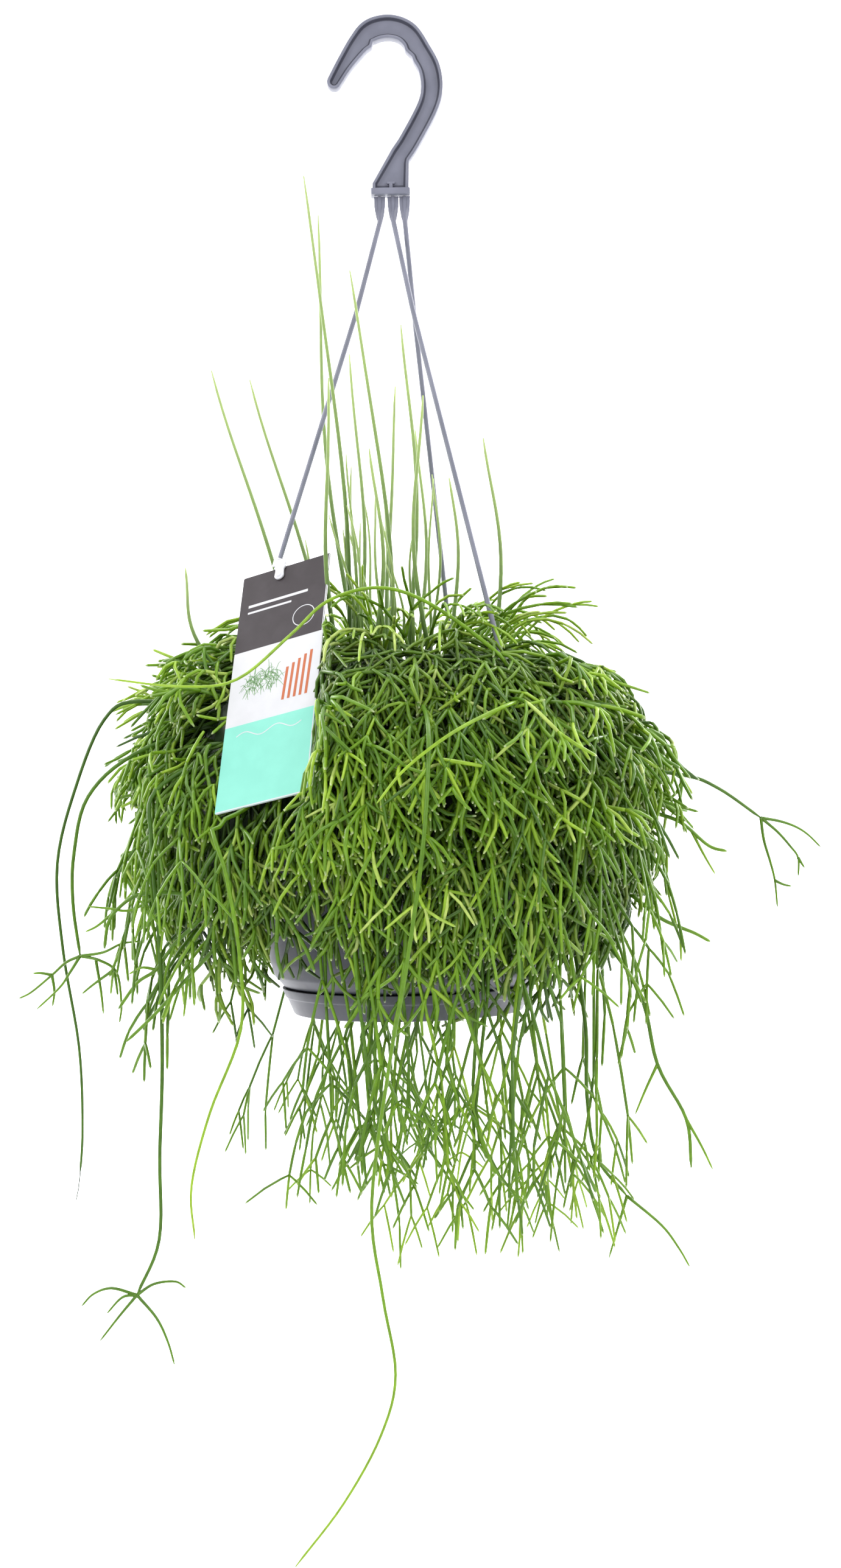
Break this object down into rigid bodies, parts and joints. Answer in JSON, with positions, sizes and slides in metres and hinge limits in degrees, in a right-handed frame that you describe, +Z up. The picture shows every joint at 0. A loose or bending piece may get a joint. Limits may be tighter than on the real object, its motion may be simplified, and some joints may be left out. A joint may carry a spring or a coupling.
{
  "type": "potted mistletoe cactus",
  "caption": "Mistletoe cactus with thin jointed hanging stems in a dark plastic pot that hangs from a flat plastic hook on three strands, with a clip-on saucer and a care tag.",
  "frame": {"origin": "the point under the hook's inner crown where it rests on what holds it", "axes": "+Z up along the hanging pot's axis, -Y towards the side where the care tag hangs and the hook's broad face looks, +X away from the hook's tip"},
  "size_m": [0.3801, 0.2946, 0.731],
  "materials": {
    "hanger_plastic": "satin blue-grey polypropylene",
    "pot_plastic": "satin charcoal polypropylene",
    "peat": "rough damp potting soil",
    "tag_card": "printed plastic card, dark band above, white, turquoise below",
    "clip_plastic": "white moulded plastic",
    "stem": "smooth waxy green skin"
  },
  "bodies": {
    "root": {"hook": "hanger_plastic", "strand_left": "hanger_plastic", "strand_front": "hanger_plastic", "strand_back": "hanger_plastic", "pot": "pot_plastic", "saucer": "pot_plastic", "soil": "peat", "tag": "tag_card", "tag_clip": "clip_plastic", "bunch_1": "stem", "bunch_2": "stem", "bunch_3": "stem", "bunch_4": "stem", "bunch_5": "stem", "bunch_6": "stem"}
  },
  "joints": []
}
